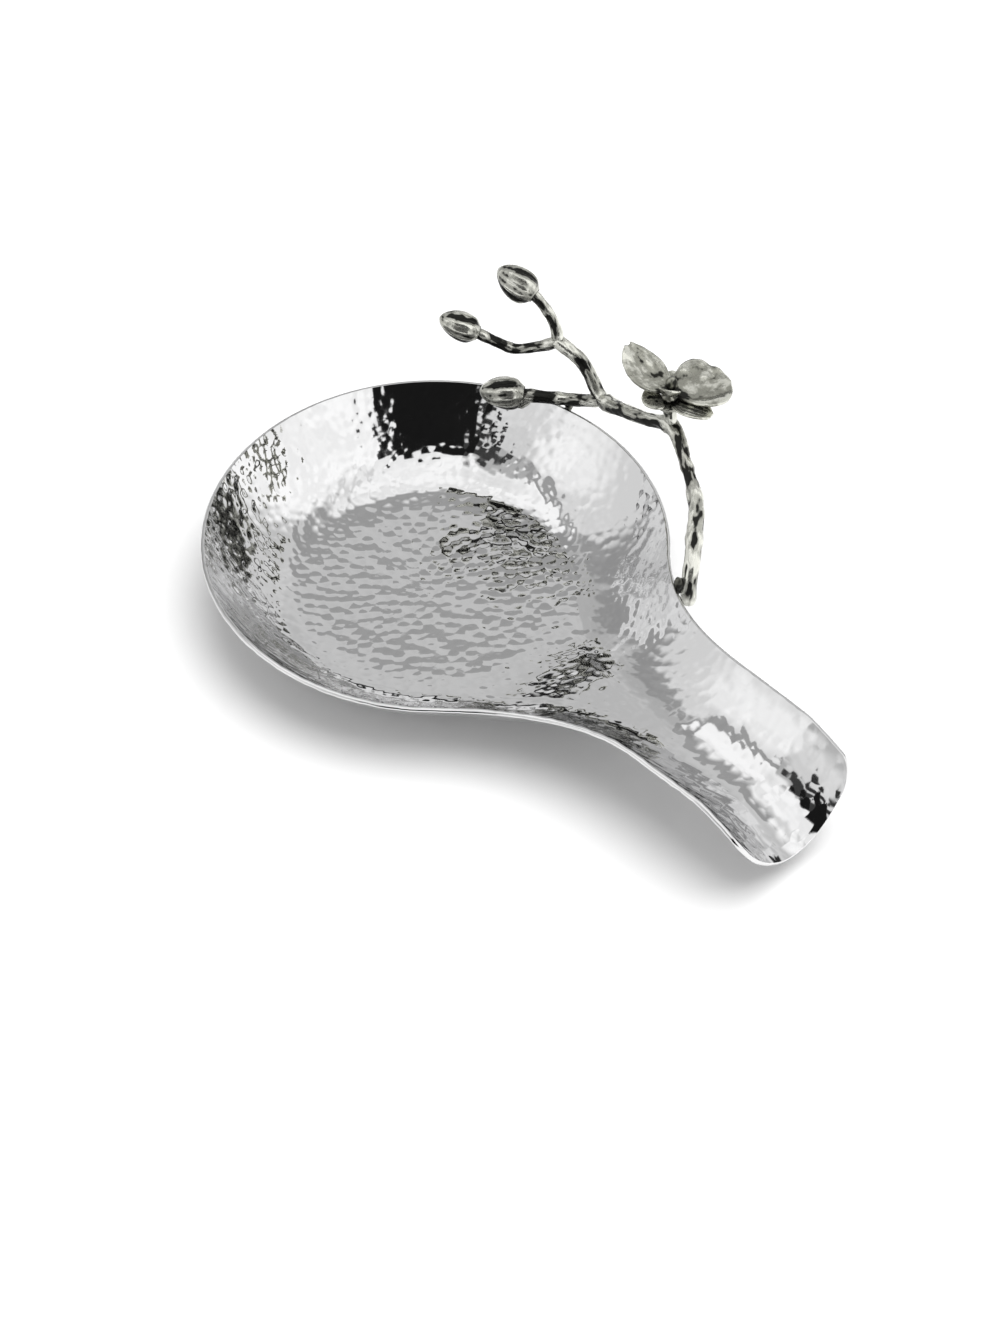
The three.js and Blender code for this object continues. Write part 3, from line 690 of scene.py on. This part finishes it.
def bud(seat, tip, length, radius, stalk_radius, seed):
    """A closed bud: three sepals wrapped over each other to a point, on a collar round its stalk."""
    collar = stalk_radius + BUD_COLLAR_WALL
    profile = [
        (0.9, stalk_radius),
        (0, collar - 0.25),
        (0.35, collar),
        (0.18 * length, lerp(collar, radius, 0.8)),
        (0.42 * length, radius),
        (0.72 * length, 0.81 * radius),
        (0.93 * length, 0.4 * radius),
        (0.985 * length, 0.15 * radius),
    ]
    rows, _ = even_curve([(x, r, 0) for x, r in profile], BUD_ROW_STEP)
    height, reach = rows[:, :1], rows[:, 1:2]
    angle = np.linspace(0, 2 * math.pi, BUD_SIDES, endpoint=False)[None]
    swell = np.sin(math.pi * np.clip(height / length, 0, 1))
    wrap = np.mod(SEPAL_COUNT * (angle + BUD_TWIST * height / length) / (2 * math.pi), 1)
    seam = np.exp(-(np.minimum(wrap, 1 - wrap) / SEAM_WIDTH) ** 2)
    streak = np.cos(SEPAL_COUNT * BUD_STREAKS * (angle + BUD_TWIST * height / length))
    relief = WRAP_STEP * (wrap - 0.5) - SEAM_DEPTH * seam + STREAK_DEPTH * streak
    reach = reach * (1 + swell * relief)
    rings = np.stack([reach * np.cos(angle), reach * np.sin(angle), height + 0 * angle], -1)
    points, triangles = capped(rings, [0, 0, 0.9], [0, 0, length])
    grain = rough_casting(points, (0.45, 1.1), (0.6, 0.4), seed)
    surface = (BUD_TONE - SEAM_DARKNESS * seam * swell + STREAK_SHINE * streak * swell + 0 * angle).ravel()
    # Painted shade: the point at the base and the rows inside the collar, where the stalk goes into the bud,
    # are painted dark
    tone_and_shade = np.append(surface, [0.1, 0.6]) + BUD_GRAIN * grain
    tone_and_shade[points[:, 2] < 0.3] -= 0.7
    return placed(BUD_SHRINK * points, seat, tip - seat, math.radians(BUD_ROLL)), triangles, tone_and_shade


def leaf(length, width, thickness, rise, cup, level, bearing, seed, ruffle, crumple, nick):
    """One leaf: a narrow claw at the pin, veined, cupped, crumpled and thinning to a ruffled edge."""
    share = np.linspace(0, 1, LEAF_ROWS + 1)[:, None]
    share = share * (1 + LEAF_CROWDING - LEAF_CROWDING * share)
    across = np.linspace(-1, 1, LEAF_COLUMNS + 1)[None]
    swell = np.sin(math.pi * 0.98 * share ** 1.15) ** 0.55
    half = lerp(CLAW_WIDTH / 2, 0, share) + width / 2 * swell
    shaded_notch = nick * np.exp(-((share - NICK_SHARE) / NICK_WIDTH) ** 2) * np.clip(across, 0, 1) ** 2
    y = across * half * (1 - shaded_notch)
    out = np.maximum(0, share - CLAW_SHARE)
    flat = np.stack([length * share + 0 * y, y, 0 * y], -1).reshape(-1, 3)
    creases = rough_casting(flat, CREASE_RATES, CREASE_WEIGHTS, seed).reshape(y.shape)
    creases = creases * np.minimum(1, 3 * share)
    wave = np.sin(7.5 * share + 2.6 * across + seed) * np.abs(across) ** 2 * share
    lift = rise * length * out ** 1.7 + cup * (2 * y / width) ** 2 + ruffle * wave + crumple * creases
    sheet = np.stack([PIN_RADIUS + CLEARANCE + length * share + 0 * y, y, level + lift], -1)
    normals = unit(np.cross(np.gradient(sheet, axis=0), np.gradient(sheet, axis=1)))
    veins = np.cos(across * LEAF_VEINS * math.pi) * np.sin(math.pi * share) * (1 - np.abs(across) ** 6)
    rim = np.maximum(np.abs(across), np.clip((share - 0.6) / 0.4, 0, 1)) ** 8
    body = thickness * (1 - RIM_THINNING * rim) + 0 * y
    middle = sheet + normals * thickness / 2
    upper = middle + normals * (body / 2 + VEIN_HEIGHT * veins)[..., None]
    lower = middle - normals * (body / 2 - VEIN_HEIGHT * veins)[..., None]
    rows, columns = sheet.shape[:2]
    count = rows * columns
    a = (np.arange(rows - 1)[:, None] * columns + np.arange(columns - 1)[None]).ravel()
    quads = np.stack([a, a + columns, a + columns + 1, a + 1], -1)
    top = np.concatenate([quads[:, [0, 1, 2]], quads[:, [0, 2, 3]]])
    grid = np.arange(count).reshape(rows, columns)
    loop = np.concatenate([grid[:-1, 0], grid[-1, :-1], grid[:0:-1, -1], grid[0, :0:-1]])
    following = np.roll(loop, -1)
    side = np.stack([loop, loop + count, following + count], -1)
    other_side = np.stack([loop, following + count, following], -1)
    points = np.concatenate([upper.reshape(-1, 3), lower.reshape(-1, 3)])
    triangles = np.concatenate([top, top[:, ::-1] + count, side, other_side])
    grain = rough_casting(points, LEAF_GRAIN_RATES, LEAF_GRAIN_WEIGHTS, seed)
    # Painted shade: the claw at the pin, between the leaves, is painted dark, and the notch in the right petal
    # is painted dark as the shadow under its fold
    claw = np.exp(-(share / 0.13) ** 2)
    surface = LEAF_TONE + 0.07 * veins + 0.3 * rim - 0.75 * claw - 9 * shaded_notch + 0.5 * creases + 0 * y
    tone_and_shade = np.tile(surface.ravel(), 2) + LEAF_GRAIN * grain
    turn = math.radians(bearing + BLOSSOM_TURN)
    return placed(points, blossom_base, BLOSSOM_LEAN, turn), triangles, tone_and_shade


def revolved(profile, sides, seed, lumps=0.0):
    """A turned shape about +Z from radius and height pairs that start and end on the axis."""
    angle = np.linspace(0, 2 * math.pi, sides, endpoint=False)[None]
    radius, height = np.array(profile[1:-1], float).T[..., None]
    rings = np.stack([radius * np.cos(angle), radius * np.sin(angle), height + 0 * angle], -1)
    points, triangles = capped(rings, [0, 0, profile[0][1]], [0, 0, profile[-1][1]])
    rough = rough_casting(points, (0.5, 1.2), (0.7, 0.4), seed)
    points = points * (1 + lumps * rough[:, None] * [1, 1, 0.5])
    return points, triangles, 0.5 + 0.6 * rough


def bead(centre, radius, seed):
    """A lump of braze, drawn out up and down and uneven where it has run."""
    latitude = np.radians(np.linspace(-90, 90, 18))
    profile = np.stack([radius * np.cos(latitude), radius * np.sin(latitude)], -1)
    points, triangles, _ = revolved(profile, 28, seed)
    rough = rough_casting(points, (0.28, 0.7), (0.8, 0.4), seed)
    drawn = points * (0.9 + 0.3 * rough[:, None]) * BEAD_DRAW
    return drawn + centre, triangles, 0.25 + 0.7 * rough


# Stations of the twig: bearing round the bowl from the handle, distance outside the rim and height above it

def station(bearing, outside, above):
    plan = polar(BOWL_RADIUS + outside, math.radians(bearing))
    return np.array([plan[0], plan[1], RIM_HEIGHT + above])


FOOT_RIM = neck_rim(np.array(FOOT_SHARE))
FOOT_OUTWARD = unit(np.array([NECK_X, NECK_CENTRE_Y]) - FOOT_RIM)


def foot(above):
    plan = FOOT_RIM + FOOT_OUTWARD * (STEM_RADII[0] + FOOT_GAP)
    return np.array([plan[0], plan[1], RIM_HEIGHT + above])


WALL_ANGLE = math.atan(WALL_CURVE * RIM_HEIGHT / (BOWL_RADIUS - BASE_RADIUS))
CROSSING_ABOVE = SHEET_THICKNESS * math.cos(WALL_ANGLE) + CROSSING_GAP + LOWER_STALK_RADIUS

blossom_node = station(68.4, 5.8, 19)
first_fork = station(92.3, 2.5, 8.5)
last_fork = station(106, 2.5, 22.5)
blossom_base = station(70.5, 5.4, 26.6)
stem_stations = [
    foot(-FOOT_DROP),
    foot(0.5),
    station(37, 6.4, 6),
    station(48, 6.7, 12),
    station(58.6, 5.8, 16),
    blossom_node,
    station(74.4, 2.6, 16.5),
    station(83, 1, 12.5),
    first_fork,
    station(99.6, 3.8, 17),
    last_fork,
]
lower_stalk_stations = [
    first_fork,
    station(97, 1.7, CROSSING_ABOVE + 1.4),
    station(CROSSING_BEARING, 0, CROSSING_ABOVE),
    station(106.8, -2.8, CROSSING_ABOVE),
    station(112, -4.9, CROSSING_ABOVE),
]
left_stalk_stations = [
    last_fork,
    station(109.5, 1.2, 19.8),
    station(116.2, -1, 17.5),
    station(121, -2, 19.5),
    station(125.7, -2.9, 22.5),
]
top_stalk_stations = [
    last_fork,
    station(106.8, 3.1, 26),
    station(108.6, 3.7, 30.3),
    station(112.8, 3.9, 36),
]
lower_tip = station(123.6, -7.6, CROSSING_ABOVE + 0.3)
left_tip = station(136.2, -2.6, 28)
top_tip = station(122.9, 6.2, 42)


def plugged(stations, tip):
    """A stalk's stations carried on into its bud's socket."""
    return [*stations, stations[-1] + unit(tip - stations[-1]) * BUD_SOCKET_DEPTH]


def add_twig(materials):
    stem = tube(stem_stations, STEM_RADII, STEM_SEED, STEM_KNOTS, STEM_PITS, STEM_DARKENING)
    add_cast("bark_main_stem", stem, "main_stem", materials)
    large = (BUD_LENGTH, BUD_RADIUS)
    small = (SMALL_BUD_LENGTH, SMALL_BUD_RADIUS)
    stalks = (
        ("lower", lower_stalk_stations, lower_tip, LOWER_STALK_RADIUS, LOWER_STALK_DARKENING, large),
        ("left", left_stalk_stations, left_tip, STALK_RADIUS, LEFT_STALK_DARKENING, small),
        ("top", top_stalk_stations, top_tip, STALK_RADIUS, TOP_STALK_DARKENING, large),
    )
    for order, (name, stations, tip, radius, tone_shift, bud_size) in enumerate(stalks):
        route = plugged(stations, tip)
        stalk = tube(route, (radius, radius, radius), STALK_SEED + order, STALK_KNOTS, tone_shift=tone_shift)
        add_cast(f"bark_{name}_bud_stalk", stalk, f"{name}_bud_stalk", materials)
        closed = bud(stations[-1], tip, *bud_size, radius, BUD_SEED + order)
        add_cast(f"wrapped_{name}_bud", closed, f"{name}_bud", materials)


def add_beads(materials):
    foot_plan = FOOT_RIM + FOOT_OUTWARD * FOOT_GAP / 2
    foot_centre = np.array([foot_plan[0], foot_plan[1], edge_height(FOOT_RIM[0])])
    rim_centre = station(CROSSING_BEARING, 0.4 * RIM_BEAD_RADIUS, 0.1 * RIM_BEAD_RADIUS)
    foot_braze = bead(foot_centre, FOOT_BEAD_RADIUS, FOOT_BEAD_SEED)
    rim_braze = bead(rim_centre, RIM_BEAD_RADIUS, RIM_BEAD_SEED)
    add_cast("run_foot_braze", foot_braze, "foot_braze_bead", materials)
    add_cast("run_rim_braze", rim_braze, "rim_braze_bead", materials)


def add_blossom(twig_materials, materials):
    axis = unit(np.array(BLOSSOM_LEAN, float))
    top = blossom_base - axis * 0.8 * SEAT_THICKNESS
    stalk_radii = (FLOWER_STALK_RADIUS, FLOWER_STALK_RADIUS, FLOWER_STALK_RADIUS)
    route = [blossom_node, (blossom_node + blossom_base) / 2, top]
    stalk = tube(route, stalk_radii, FLOWER_STALK_SEED, FLOWER_STALK_KNOTS)
    seat_profile = [
        (0, -SEAT_THICKNESS),
        (0.5 * SEAT_RADIUS, -SEAT_THICKNESS),
        (0.78 * SEAT_RADIUS, -0.95 * SEAT_THICKNESS),
        (0.95 * SEAT_RADIUS, -0.5 * SEAT_THICKNESS),
        (SEAT_RADIUS, -0.2 * SEAT_THICKNESS),
        (0.93 * SEAT_RADIUS, 0),
        (0, 0),
    ]
    points, triangles, tone_and_shade = revolved(seat_profile, 32, SEAT_SEED, 0.06)
    seat = placed(points, blossom_base, BLOSSOM_LEAN), triangles, tone_and_shade
    add_cast("bark_flower_stalk", joined(stalk, seat), "flower_stalk", twig_materials)

    sepal_level = CLEARANCE
    collar_level = sepal_level + SEPAL["thickness"] + CLEARANCE
    petal_level = collar_level + PETAL_LIFT
    lip_level = petal_level + LEFT_PETAL["thickness"] + CLEARANCE
    head_level = lip_level + LIP["thickness"] + CLEARANCE
    dorsal_sepal = SEPAL | {"length": DORSAL_SEPAL_LENGTH}
    left_sepal = SEPAL | {"length": LEFT_SEPAL_LENGTH}
    right_sepal = SEPAL | {"length": RIGHT_SEPAL_LENGTH}
    leaves = (
        ("dorsal_sepal", dorsal_sepal, sepal_level, DORSAL_BEARING),
        ("left_sepal", left_sepal, sepal_level, DORSAL_BEARING + LEFT_SEPAL_SPREAD),
        ("right_sepal", right_sepal, sepal_level, DORSAL_BEARING - RIGHT_SEPAL_SPREAD),
        ("left_petal", LEFT_PETAL, petal_level, DORSAL_BEARING + PETAL_SPREAD),
        ("right_petal", RIGHT_PETAL, petal_level, DORSAL_BEARING - PETAL_SPREAD),
        ("lip", LIP, lip_level, LIP_BEARING),
    )
    for order, (name, sizes, level, bearing) in enumerate(leaves):
        edge = PETAL_EDGE if "petal" in name else SMALL_LEAF_EDGE
        nick = RIGHT_PETAL_NICK if name == "right_petal" else 0.0
        seed = LEAF_SEED + LEAF_SEED_STEP * order
        shape = leaf(**sizes, **edge, level=level, bearing=bearing, seed=seed, nick=nick)
        add_cast(f"veined_{name}", shape, name, materials)

    head = COLUMN_HEAD_RADIUS
    tall = COLUMN_HEAD_HEIGHT
    column_profile = [
        (0, -PIN_RADIUS),
        (PIN_RADIUS, -PIN_RADIUS),
        (PIN_RADIUS, collar_level - 0.1),
        (0.9 * COLLAR_RADIUS, collar_level),
        (COLLAR_RADIUS, (collar_level + petal_level) / 2),
        (0.9 * COLLAR_RADIUS, petal_level - CLEARANCE),
        (PIN_RADIUS, petal_level - CLEARANCE + 0.1),
        (PIN_RADIUS, head_level - 0.1),
        (0.8 * head, head_level),
        (head, head_level + 0.2 * tall),
        (0.97 * head, head_level + 0.45 * tall),
        (0.72 * head, head_level + 0.75 * tall),
        (0.35 * head, head_level + 0.95 * tall),
        (0, head_level + tall),
    ]
    points, triangles, tone_and_shade = revolved(column_profile, 28, COLUMN_SEED, 0.1)
    column = placed(points, blossom_base, BLOSSOM_LEAN), triangles, tone_and_shade - 0.3
    add_cast("hooded_column", column, "column", materials)


def add_camera():
    """The photograph's camera: aimed so that the rim's centre falls on its pixel, with no shift."""
    a, e = CAMERA_AZIMUTH, CAMERA_ELEVATION
    back = np.array([math.sin(a) * math.cos(e), -math.cos(a) * math.cos(e), math.sin(e)])
    right = np.array([math.cos(a), math.sin(a), 0])
    up = np.cross(back, right)
    offset = (IMAGE_SIZE / 2 - RIM_CENTRE_PIXEL) / PIXELS_PER_MM
    aim = right * offset[0] - up * offset[1] - back * CAMERA_DISTANCE
    data = bpy.data.cameras.new("camera")
    data.sensor_fit = "VERTICAL"
    data.sensor_height = SENSOR_SIZE
    data.lens = PIXELS_PER_MM * CAMERA_DISTANCE * SENSOR_SIZE / IMAGE_SIZE[1]
    data.clip_start = 0.01
    camera = bpy.data.objects.new("camera", data)
    camera.location = (np.array([0, 0, RIM_HEIGHT]) + back * CAMERA_DISTANCE) * MM
    upright = Matrix((right, up, back)).transposed()
    turn = Vector(-back).rotation_difference(Vector(aim)).to_matrix()
    camera.rotation_euler = (turn @ upright).to_euler()
    bpy.context.scene.collection.objects.link(camera)
    bpy.context.scene.camera = camera


# Studio: grey walls with a white ceiling, and soft panels on them. A panel has its two ends, counted
# anticlockwise from the camera's side or from the far side, its bottom and top, how soft its ends and rows are,
# and its brightness. All but the brightness are in degrees.
LOW_WALL = 0.58
HIGH_WALL = 0.35
CEILING = 1.0
WALL_STEP = (45.6, 47)
CEILING_EDGE = (54, 67)
STUDIO_PANELS = (
    ("near", -122, -28, -20, 46, 8, 4, 0.78),
    ("near", -92, -54, 12, 42, 10, 8, 1.0),
    ("near", -62, -36, -20, 18, 5, 5, 0.48),
    ("near", -124, -62, 51.5, 68, 6, 2, 1.0),
    ("near", -58, -24, 24, 46, 5, 5, 0.74),
    ("near", -65, -26, 45, 60, 4, 3, 0.5),
    ("near", -98, -62, 45.5, 51.5, 3, 1, 0.35),
    ("near", -122, -15, 66, 80, 10, 6, 0.85),
    ("near", 10, 108, -20, 59, 9, 6, 1.05),
    ("near", -24, 60, 57.5, 75, 3, 1, 1.0),
    ("near", -45, -24, 46, 57, 2, 1, 0.05),
    ("near", -37, -24, 37, 43, 1.5, 1, 0.03),
    ("near", -32, -24, 26, 32, 1.5, 1, 0.03),
    ("near", 26, 37, 45, 57, 2, 1.5, 0.04),
    ("near", 26, 33, 33, 39, 1.5, 1, 0.04),
    ("near", -25, 28.5, -20, 57, 1.5, 1.5, 0.01),
    ("far", -64, -26, 9, 46, 6, 3, 0.68),
    ("far", -70, 60, 67, 80, 10, 4, 0.85),
    ("far", 38, 60, -10, 43, 5, 3, 0.34),
    ("far", 18, 38, 14, 46, 5, 2, 0.5),
    ("far", 33, 74, 54, 75, 3, 2, 1.0),
    ("far", -45, 45, -6, 3.5, 4, 1, 0.03),
    ("far", -60, -4, -6, 9, 4, 1.5, 0.03),
    ("far", -13, 17, -6, 16.5, 2, 1.5, 0.012),
)
STUDIO_LEVEL = 1.22
UNEVEN_LIGHT = 0.14
CLOUD_SCALE = 3.5

# Key light: distances in metres, angles in degrees, its bearing counted from the camera's side
KEY_SIZE = 1.45
KEY_POWER = 25
KEY_BEARING = 92
KEY_ELEVATION = 76
KEY_DISTANCE = 1.3

# Floor: sizes in metres, and the distances over which it turns plain white to the camera
FLOOR_HALF_SIZE = 4.0
FLOOR_COLOUR = (0.63, 0.63, 0.63, 1)
FLOOR_GLOW = 0.08
FAR_WHITE = (0.4, 1.3)


def add_studio():
    world = bpy.data.worlds.new("studio")
    bpy.context.scene.world = world
    world.use_nodes = True
    tree = world.node_tree
    direction = add_node(tree, "ShaderNodeTexCoord").outputs["Generated"]

    def along(vector):
        node = add_node(tree, "ShaderNodeVectorMath", {0: direction, 1: vector}, operation="DOT_PRODUCT")
        return node.outputs["Value"]

    a = CAMERA_AZIMUTH
    near = along((math.sin(a), -math.cos(a), 0))
    right = along((math.cos(a), math.sin(a), 0))
    far = math_node(tree, "MULTIPLY", near, -1.0)
    left = math_node(tree, "MULTIPLY", right, -1.0)
    bearings = {"near": math_node(tree, "ARCTAN2", right, near), "far": math_node(tree, "ARCTAN2", left, far)}
    elevation = math_node(tree, "ARCSINE", along((0, 0, 1)))

    def window(value, low, high, soft):
        rise = map_range(tree, value, math.radians(low - soft), math.radians(low + soft))
        fall = map_range(tree, value, math.radians(high - soft), math.radians(high + soft), 1.0, 0.0)
        return math_node(tree, "MULTIPLY", rise, fall)

    high = map_range(tree, elevation, *(math.radians(d) for d in WALL_STEP))
    ceiling = map_range(tree, elevation, *(math.radians(d) for d in CEILING_EDGE))
    level = mix_values(tree, high, LOW_WALL, HIGH_WALL)
    level = mix_values(tree, ceiling, level, CEILING)
    for side, left_end, right_end, bottom, top, soft_ends, soft_rows, brightness in STUDIO_PANELS:
        across = window(bearings[side], left_end, right_end, soft_ends)
        inside = math_node(tree, "MULTIPLY", across, window(elevation, bottom, top, soft_rows))
        level = mix_values(tree, inside, level, brightness)
    inputs = {"Vector": direction, "Scale": CLOUD_SCALE, "Detail": 1.0}
    cloud = add_node(tree, "ShaderNodeTexNoise", inputs).outputs[0]
    uneven = map_range(tree, cloud, 0.3, 0.7, STUDIO_LEVEL * (1 - UNEVEN_LIGHT), STUDIO_LEVEL)
    level = math_node(tree, "MULTIPLY", level, uneven)
    seen = add_node(tree, "ShaderNodeLightPath").outputs["Is Camera Ray"]
    level = mix_values(tree, seen, level, 1.0)
    tree.links.new(level, tree.nodes["Background"].inputs["Color"])


def add_key_light():
    data = bpy.data.lights.new("key", "AREA")
    data.shape = "DISK"
    data.size = KEY_SIZE
    data.energy = KEY_POWER
    light = bpy.data.objects.new("key", data)
    azimuth = CAMERA_AZIMUTH + math.radians(KEY_BEARING)
    elevation = math.radians(KEY_ELEVATION)
    level = math.cos(elevation)
    direction = Vector((math.sin(azimuth) * level, -math.cos(azimuth) * level, math.sin(elevation)))
    light.location = direction * KEY_DISTANCE
    light.rotation_euler = direction.to_track_quat("Z", "Y").to_euler()
    light.visible_glossy = False
    bpy.context.scene.collection.objects.link(light)


def add_floor():
    size = FLOOR_HALF_SIZE
    corners = [(-size, -size, 0), (size, -size, 0), (size, size, 0), (-size, size, 0)]
    mesh = bpy.data.meshes.new("floor")
    mesh.from_pydata(corners, [], [(0, 1, 2, 3)])
    material = bpy.data.materials.new("white_sweep")
    material.use_nodes = True
    tree = material.node_tree
    tree.nodes.remove(tree.nodes["Principled BSDF"])
    path = add_node(tree, "ShaderNodeLightPath")
    seen = math_node(tree, "MAXIMUM", path.outputs["Is Camera Ray"], path.outputs["Is Glossy Ray"])
    seen = math_node(tree, "MAXIMUM", seen, path.outputs["Is Transmission Ray"])
    glow = math_node(tree, "MULTIPLY", seen, FLOOR_GLOW)
    place = add_node(tree, "ShaderNodeTexCoord").outputs["Object"]
    distance = add_node(tree, "ShaderNodeVectorMath", {0: place}, operation="LENGTH").outputs["Value"]
    far = map_range(tree, distance, *FAR_WHITE)
    far_white = math_node(tree, "MULTIPLY", path.outputs["Is Camera Ray"], far)
    glow = math_node(tree, "ADD", glow, far_white)
    paper = add_node(tree, "ShaderNodeBsdfDiffuse", {"Color": FLOOR_COLOUR})
    light = add_node(tree, "ShaderNodeEmission", {"Color": (1, 1, 1, 1), "Strength": glow})
    both = add_node(tree, "ShaderNodeAddShader", {0: paper.outputs[0], 1: light.outputs[0]})
    tree.links.new(both.outputs[0], tree.nodes["Material Output"].inputs["Surface"])
    mesh.materials.append(material)
    floor = bpy.data.objects.new("floor", mesh)
    bpy.context.scene.collection.objects.link(floor)


add_camera()
add_studio()
add_key_light()
add_floor()
bpy.context.scene.view_settings.view_transform = "Standard"
add_dish([polished_steel(), ground_edge()])
twig_finish = antique_nickel("antique_nickel", (0.72, 0.72, 0.66), (0.42, 0.42, 0.38), (0.02, 0.02, 0.018))
blossom_finish = antique_nickel("satin_nickel", (0.72, 0.72, 0.65), (0.34, 0.34, 0.295), (0.02, 0.02, 0.017))
braze_finish = antique_nickel("dark_braze", (0.36, 0.36, 0.33), (0.14, 0.14, 0.12), (0.02, 0.02, 0.018))
add_twig([twig_finish])
add_beads([braze_finish])
add_blossom([twig_finish], [blossom_finish])
